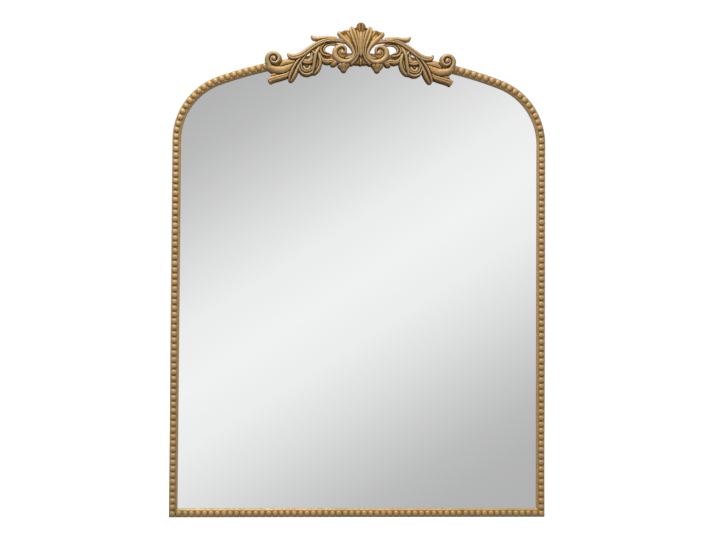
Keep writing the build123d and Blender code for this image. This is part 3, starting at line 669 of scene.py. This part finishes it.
def reeded(reeds, groove, sides=0.55):
    """A limb's section: flat behind, crowned in front, with rounded reeds across it."""
    points = [(-0.5, 0.0)]
    count = max(10, 6 * reeds)
    for i in range(count + 1):
        u = i / count
        crown = sides + (1 - sides) * sin(pi * u) ** reed_fullness
        cut = groove * (1 - abs(sin(pi * reeds * u)) ** reed_fullness) * (1 if 0 < i < count else side_groove)
        across = -0.5 * cos(pi * u) * crowding + (u - 0.5) * (1 - crowding)
        points.append((across, crown * (1 - cut)))
    return points + [(0.5, 0.0)]


def dished(dip, rim=0.2, sides=0.5):
    """A leaf's section: flat behind, with a rounded rim at both sides and a soft hollow between them."""
    points = [(-0.5, 0.0)]
    for i in range(dish_steps + 1):
        u = i / dish_steps
        near = min(u, 1 - u)
        lift = (sides + (1 - sides) * sin(pi / 2 * near / rim) if near < rim
                else 1 - dip * sin(pi / 2 * (near - rim) / (0.5 - rim)) ** dish_slope)
        points.append((u - 0.5, lift))
    return points + [(0.5, 0.0)]


def limb(work, stations, section, ends=1.0):
    """One limb swept along its stations, with rounded ends."""
    def frame_at(i, pull=0.0, thin=1.0, low=1.0):
        along, up, width, height = stations[i]
        before = stations[max(i - 1, 0)]
        after = stations[min(i + 1, len(stations) - 1)]
        flow = Vector((after[0] - before[0], 0, after[1] - before[1])).normalized()
        turn = along / head_radius
        spin = Matrix.Rotation(turn, 3, "Y")
        tangent = spin @ flow
        side = spin @ Vector((-flow.z, 0, flow.x))
        reach = head_radius + up
        seat = Vector((reach * sin(turn), -bed_height, head_centre_z + reach * cos(turn)))
        seat += tangent * pull * width * ends
        axes = Matrix((side * width * thin, Vector((0, -height * low, 0)), tangent * mm)).transposed()
        return Matrix.Translation(seat) @ axes.to_4x4()

    last = len(stations) - 1
    places = [frame_at(0, -pull, thin, low) for pull, thin, low in rounded_end_shares]
    places += [frame_at(i) for i in range(last + 1)]
    places += [frame_at(last, pull, thin, low) for pull, thin, low in reversed(rounded_end_shares)]
    corners = [work.verts.new(places[0] @ Vector((across, lift, 0))) for across, lift in section]
    face = work.faces.new(corners)
    for near, far in zip(places, places[1:]):
        face = drawn_out(work, face, far @ near.inverted(), first=near is places[0])


def turned(work, seat, stations, segments=24):
    """A round piece on its seat's axis, from (radius, how far out) stations."""
    first = True
    (was, low), rest = stations[0], stations[1:]
    made = bmesh.ops.create_circle(work, cap_ends=True, segments=segments, radius=was,
                                   matrix=seat @ Matrix.Translation((0, 0, low)))["verts"]
    face = made[0].link_faces[0]
    for size, out in rest:
        grow = (seat @ Matrix.Translation((0, 0, out - low)) @ Matrix.Diagonal((size / was, size / was, 1, 1))
                @ seat.inverted())
        face = drawn_out(work, face, grow, first)
        was, low, first = size, out, False


def boss(work, along, up, radius, height):
    """A low round boss."""
    turn = along * crest_reach / head_radius
    reach = head_radius + up * crest_rise
    seat = Matrix.Translation((reach * sin(turn), -bed_height, head_centre_z + reach * cos(turn)))
    turned(work, seat @ Matrix.Rotation(radians(90), 4, "X"), tuple(
        (size * radius * crest_rise, lift * height * crest_depth) for size, lift in boss_profile_shares))


def worn_down(work, passes):
    for _ in range(passes):
        bmesh.ops.smooth_vert(work, verts=work.verts, factor=0.5,
                              use_axis_x=True, use_axis_y=True, use_axis_z=True)


def stained(spot, stains):
    """How much of a stain lies on a spot, each stain fading out to its radius."""
    return sum(max(0, 1 - hypot((spot.x - along * crest_reach) / crest_rise,
                                (spot.z - arch_height) / crest_rise - up) / radius)
               for along, up, radius in stains)


def carved(name, work, wash_and_shade, stains=()):
    """Overlapping limbs made one carving and worked over by hand, with the depth of each hollow marked; the
    mark darkens hollows and low ground with umber wash and painted shade, paints light from above, and adds
    stains.
    """
    bmesh.ops.recalc_face_normals(work, faces=work.faces)
    block = placed(name + "_rough", mesh_of(name + "_rough", work))
    joining = block.modifiers.new("joining", "REMESH")
    joining.mode = "VOXEL"
    joining.voxel_size = carving_grain
    work = bmesh.new()
    taken_up(work, shaped(block))
    cleared(block)
    worn_down(work, finishing_passes)
    work.normal_update()
    for v in work.verts:
        v.co += swelling * v.normal + tool_mark * noise.noise_vector(v.co * tool_mark_scale)
    soft, worn = work.copy(), work.copy()
    worn_down(soft, soft_passes)
    worn_down(worn, worn_passes)
    work.normal_update()
    depth = work.verts.layers.float.new("hollow")
    for v, s, w in zip(work.verts, soft.verts, worn.verts):
        low = 1 - (-v.co.y - bed_height) / crest_depth
        sunk = (w.co - s.co).dot(v.normal) / mm
        # Hollows take umber wash and painted shade, edges are rubbed bright, and faces turned up are painted
        # paler and undersides darker, as light from above falls.
        hollow = plain_gold + (wash_and_shade if sunk > 0 else rubbed_edges) * sunk - painted_top_light * v.normal.z
        # Low ground takes more wash and painted shade; stains take more wash.
        hollow += low_ground_wash_and_shade * max(low - low_ground_share, 0) + stain_wash * stained(v.co, stains)
        v[depth] = back_wash if v.normal.y > back_facing else min(max(hollow, 0), 1)
    soft.free()
    worn.free()
    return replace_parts(piece(name, work, crest_gold, sharp=radians(180)),
                       name.replace("_carving", ""))


def both_sides(work):
    """The right half copied to the left."""
    halves = bmesh.ops.duplicate(work, geom=work.verts[:] + work.edges[:] + work.faces[:])["geom"]
    verts = [v for v in halves if isinstance(v, bmesh.types.BMVert)]
    bmesh.ops.scale(work, vec=(-1, 1, 1), verts=verts)


def palmette():
    """The middle casting: bud, column, fanned leaves, and a scroll and foot at each side."""
    work = bmesh.new()
    flute, rib, web = dished(0.09, 0.24, 0.74), reeded(1, 0.0), reeded(1, 0.0, 0.8)
    for shares, section in ((outer_leaf_shares, reeded(1, 0.0, 0.6)), (mid_leaf_shares, flute),
                            (inner_leaf_shares, flute)):
        limb(work, run_of(shares), section)
    limb(work, run_of(side_back_shares), web, ends=0.3)
    limb(work, run_of(curl_back_shares), rib)
    limb(work, run_of(foot_shares), reeded(3, 0.12))
    boss(work, *scroll_eye)
    boss(work, *scroll_disc)
    both_sides(work)
    limb(work, run_of(column_shares), reeded(3, 0.06, 0.8))
    limb(work, run_of(shell_back_shares), web, ends=0.2)
    limb(work, run_of(petal_shares), rib)
    limb(work, run_of(bud_shares), dished(0.16, 0.4, 0.6))
    limb(work, run_of(palmette_web_shares), web, ends=0.12)
    return carved("crest_centre_carving", work, palmette_wash_and_shade, palmette_stain_shares)


def wing(name, side):
    """A side casting: the stem with its flick, leaves and shell, and the tail that winds into the volute."""
    work = bmesh.new()
    reeds, leaf, rib, hollow_band = reeded(2, 0.15), dished(0.26, 0.26), reeded(1, 0.0), dished(0.16)
    for shares, section in (
            (stem_shares, reeds), (flick_shares, rib), (hump_shares, rib), (inner_band_shares, hollow_band),
            (band_web_shares, rib), (low_web_shares, rib), (drop_leaf_shares, rib), (drop_rib_shares, rib),
            (second_leaf_shares, rib), (drop_web_shares, rib), (hook_shares, reeds), (lobe_shares, rib),
            (curl_shares, rib), (shell_top_shares, reeds), (shell_shares, hollow_band),
            (shell_ridge_shares, rib), (down_leaf_shares, leaf)):
        limb(work, run_of(shares), section)
    limb(work, run_of(low_leaf_shares), reeded(2, 0.16, 0.45), ends=0.25)
    limb(work, run_of(tail_shares) + wound(*volute), reeded(1, 0.0, 0.5))
    for eye in (volute_disc, volute_eye, shell_disc):
        boss(work, *eye)
    bmesh.ops.scale(work, vec=(side, 1, 1), verts=work.verts)
    return carved(name, work, wing_wash_and_shade)


# The hardware on the back

def facing_back(x, y, z):
    """A seat whose axis points away from the glass."""
    return Matrix.Translation((x, y, z)) @ Matrix.Rotation(radians(-90), 4, "X")


def in_metres(profile):
    return tuple((radius * mm, out * mm) for radius, out in profile)


def screw(name, profile):
    """One screw at the origin, its head's crossed slots cut out."""
    work = bmesh.new()
    turned(work, Matrix(), in_metres(profile))
    bmesh.ops.recalc_face_normals(work, faces=work.faces)
    slots = bmesh.new()
    top = profile[-1][1] * mm
    for turn in (0, 90):
        bmesh.ops.create_cube(slots, size=1, matrix=Matrix.Translation((0, 0, top)) @ Matrix.Rotation(
            radians(turn), 4, "Z") @ Matrix.Diagonal((slot_length, slot_width, 2 * slot_depth, 1)))
    blank = placed(name, mesh_of(name, work))
    cutter = placed(name + "_slots", mesh_of(name + "_slots", slots))
    cut = blank.modifiers.new("slots", "BOOLEAN")
    cut.operation, cut.solver, cut.object, cut.use_self = "DIFFERENCE", "EXACT", cutter, True
    made = shaped(blank)
    for spent in (blank, cutter):
        cleared(spent)
    return made


def screws(node, kind, places):
    """A set of screws, each driven home at its own turn."""
    work = bmesh.new()
    for x, y, z in places:
        before = len(work.verts)
        work.from_mesh(kind)
        work.verts.ensure_lookup_table()
        bmesh.ops.transform(work, verts=work.verts[before:],
                            matrix=facing_back(x, y, z) @ Matrix.Rotation(hand.uniform(0, pi / 2), 4, "Z"))
    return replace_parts(piece(node + "_turned", work, zinc, sharp=radians(30)), node)


def board_screw_places():
    """Round the board's edge: both sides, the shoulders, the head and the foot."""
    sides = [(half_width - land_middle, share * springing_z) for share in board_screw_side_shares]
    turn = (pi / 2 + head_half_angle) / 2
    reach = shoulder_radius - land_middle
    sides.append((shoulder_centre_x + reach * sin(turn), springing_z + reach * cos(turn)))
    sides += [arch_place(share * crest_reach, land_middle)[:2] for share in board_screw_head_shares]
    foot = [(share * half_width, land_middle) for share in board_screw_foot_shares]
    return [(x, board_back, z) for x, z in sides + [(-x, z) for x, z in sides] + foot]


def ring(side):
    """A hanging ring of bent wire: a straight bar in the eye, round corners and a bow below."""
    wire = bpy.data.curves.new("ring_wire", "CURVE")
    wire.dimensions = "3D"
    wire.bevel_depth = ring_wire
    wire.bevel_resolution = 3
    half = []
    for i in range(corner_steps + 1):
        turn = pi / 2 * (1 - i / corner_steps)
        half.append((ring_half_width - ring_corner * (1 - cos(turn)), ring_corner * (sin(turn) - 1)))
    for i in range(bow_steps + 1):
        turn = -pi / 2 * i / bow_steps
        half.append((ring_half_width * cos(turn), ring_half_width * (1 + sin(turn)) - ring_depth))
    run = half + [(-x, z) for x, z in reversed(half[:-1])]
    bends = wire.splines.new("POLY")
    bends.points.add(len(run) - 1)
    bends.use_cyclic_u = True
    for point, (x, z) in zip(bends.points, run):
        point.co = (side * hanger_x + x, hinge_y, hinge_z + z, 1)
    bent = placed("ring_wire", wire)
    work = bmesh.new()
    taken_up(work, shaped(bent))
    bpy.data.objects.remove(bent)
    bpy.data.curves.remove(wire)
    bmesh.ops.remove_doubles(work, verts=work.verts, dist=hair)
    bmesh.ops.recalc_face_normals(work, faces=work.faces)
    name = side_name(side)
    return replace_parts(piece(name + "_hanger_ring_bent", work, brass, body=name + "_ring"),
                       name + "_hanger_ring")


def strap(side):
    """A hanger strap: a sheet strip with a round foot, its top rolled into the ring's eye."""
    work = bmesh.new()
    x, middle = side * hanger_x, board_back + strap_gauge / 2
    seat = Matrix.Translation((x, middle, hinge_z - strap_length)) @ Matrix.Diagonal(
        (strap_width, strap_gauge, 1, 1))
    foot = bmesh.ops.create_grid(work, x_segments=1, y_segments=1, size=0.5, matrix=seat)["verts"]
    face = foot[0].link_faces[0]
    face = drawn_out(work, face, Matrix.Translation((0, 0, strap_length - 2 * strap_gauge)), first=True)
    narrow = Matrix.Translation((x, 0, 2 * strap_gauge)) @ Matrix.Diagonal(
        (eye_width / strap_width, 1, 1, 1)) @ Matrix.Translation((-x, 0, 0))
    face = drawn_out(work, face, narrow)
    step = Matrix.Translation((0, hinge_y, hinge_z)) @ Matrix.Rotation(
        -eye_step, 4, "X") @ Matrix.Translation((0, -hinge_y, -hinge_z))
    for _ in range(eye_steps):
        face = drawn_out(work, face, step)
    bmesh.ops.recalc_face_normals(work, faces=work.faces)
    low = [e for e in work.edges if all(v.co.z < hinge_z - strap_length + mm for v in e.verts)
           and abs(e.verts[0].co.x - e.verts[1].co.x) < hair]
    bmesh.ops.bevel(work, geom=low, offset=strap_corner, segments=6, profile=0.5, affect="EDGES", material=-1)
    crisp = [e for e in work.edges if len(e.link_faces) == 2 and e.calc_face_angle() > radians(50)]
    bmesh.ops.bevel(work, geom=crisp, offset=strap_edge, segments=2, profile=0.5, affect="EDGES", material=-1)
    name = side_name(side)
    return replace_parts(piece(name + "_hanger_strap_rolled", work, brass, sharp=radians(50)),
                       name + "_hanger_strap")


def bumper(side):
    """A rubber button with a rounded rim."""
    work = bmesh.new()
    turned(work, facing_back(side * (half_width - bumper_inset), board_back, bumper_inset),
           in_metres(bumper_profile), segments=32)
    bmesh.ops.recalc_face_normals(work, faces=work.faces)
    name = side_name(side)
    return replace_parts(piece(name + "_bumper_moulded", work, rubber), name + "_bumper")


stile("left_stile", left)
stile("right_stile", right)
rail()
arch()
palmette()
wing("crest_left_wing_carving", left)
wing("crest_right_wing_carving", right)
countersunk = screw("countersunk", countersunk_profile)
pan_head = screw("pan_head", pan_head_profile)
screws("backboard_screws", countersunk, board_screw_places())
for side, name in ((left, "left_hanger_screws"), (right, "right_hanger_screws")):
    screws(name, pan_head,
           [(side * hanger_x, board_back + strap_gauge, hinge_z - drop) for drop in strap_screw_drops])
    ring(side)
    strap(side)
    bumper(side)
for spent in (countersunk, pan_head):
    bpy.data.meshes.remove(spent)

# The solids that keep their own shape
dowel_wood = beech()
kept_finishes = {
    "mirror_glass": silvering(), "backboard": fibreboard(), "glass_pads": black_rubber("pad_foam", 0.05),
    "left_shoulder_dowel": dowel_wood, "right_shoulder_dowel": dowel_wood,
    "left_corner_vnails": zinc, "right_corner_vnails": zinc,
    "crest_centre_screws": zinc, "crest_left_wing_screws": zinc, "crest_right_wing_screws": zinc}
for node, material in kept_finishes.items():
    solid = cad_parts[node]
    solid.data.materials.clear()
    solid.data.materials.append(material)


# The studio: a pale floor, soft lights above and behind, and a sky that the glass reflects as a slanting band

def soft_light(name, place, aim, width, height, power):
    """A rectangular light that faces what it lights."""
    light = bpy.data.lights.new(name, "AREA")
    light.shape = "RECTANGLE"
    light.size, light.size_y, light.energy = width, height, power
    lamp = placed(name, light)
    lamp.location = place
    lamp.rotation_euler = (Vector(aim) - Vector(place)).to_track_quat("-Z", "Y").to_euler()


lens = bpy.data.cameras.new("camera")
lens.lens, lens.sensor_width = lens_length, sensor_width
camera = placed("camera", lens)
camera.location = camera_place
camera.rotation_euler = camera_turn
bpy.context.scene.camera = camera
bpy.context.scene.view_settings.view_transform = "Standard"

soft_light("top_light", (-0.5, -1.2, 2.7), (0, 0, 0.6), 1.6, 0.9, top_light_power)
soft_light("back_light", (0.6, 2.2, 2.2), (0, 0, 0.5), 1.4, 1.0, back_light_power)

ground = bmesh.new()
bmesh.ops.create_grid(ground, x_segments=8, y_segments=8, size=floor_reach)
bmesh.ops.translate(ground, verts=ground.verts, vec=(0, 0, -floor_drop))
floor = placed("floor", mesh_of("floor", ground))
pale, _, pale_shader, _ = finish("pale_floor")
pale_shader.inputs["Base Color"].default_value = (floor_tone, floor_tone, floor_tone, 1)
pale_shader.inputs["Roughness"].default_value = 0.9
pale_shader.inputs["Emission Color"].default_value = (1, 1, 1, 1)
pale_shader.inputs["Emission Strength"].default_value = floor_glow
floor.data.materials.append(pale)
floor.visible_glossy = False
floor.visible_diffuse = False

sky = bpy.data.worlds.new("studio")
bpy.context.scene.world = sky
sky.use_nodes = True
sky_nodes, sky_join = sky.node_tree.nodes, sky.node_tree.links.new
direction = sky_nodes.new("ShaderNodeTexCoord")
slant = sky_nodes.new("ShaderNodeVectorMath")
slant.operation = "DOT_PRODUCT"
slant.inputs[1].default_value = band_slant
sky_join(direction.outputs["Generated"], slant.inputs[0])
offset = sums(sky_nodes, sky_join, "ADD", slant.outputs["Value"], band_middle)
away = sums(sky_nodes, sky_join, "ABSOLUTE", offset)
band = shades(sky_nodes, sky_join, away, band_tones)
split = sky_nodes.new("ShaderNodeSeparateXYZ")
sky_join(direction.outputs["Generated"], split.inputs[0])
rise = shades(sky_nodes, sky_join, sums(sky_nodes, sky_join, "MULTIPLY_ADD", split.outputs["Z"], 0.5, 0.5),
              rise_tones)
sky_tone = blended(sky_nodes, sky_join, "MULTIPLY", 1.0, band, rise)
path = sky_nodes.new("ShaderNodeLightPath")
seen = blended(sky_nodes, sky_join, "MIX", path.outputs["Is Camera Ray"], sky_tone,
               (backdrop_tone, backdrop_tone, backdrop_tone, 1))
sky_nodes["Background"].inputs["Strength"].default_value = 1 / level_tone
sky_join(seen, sky_nodes["Background"].inputs["Color"])
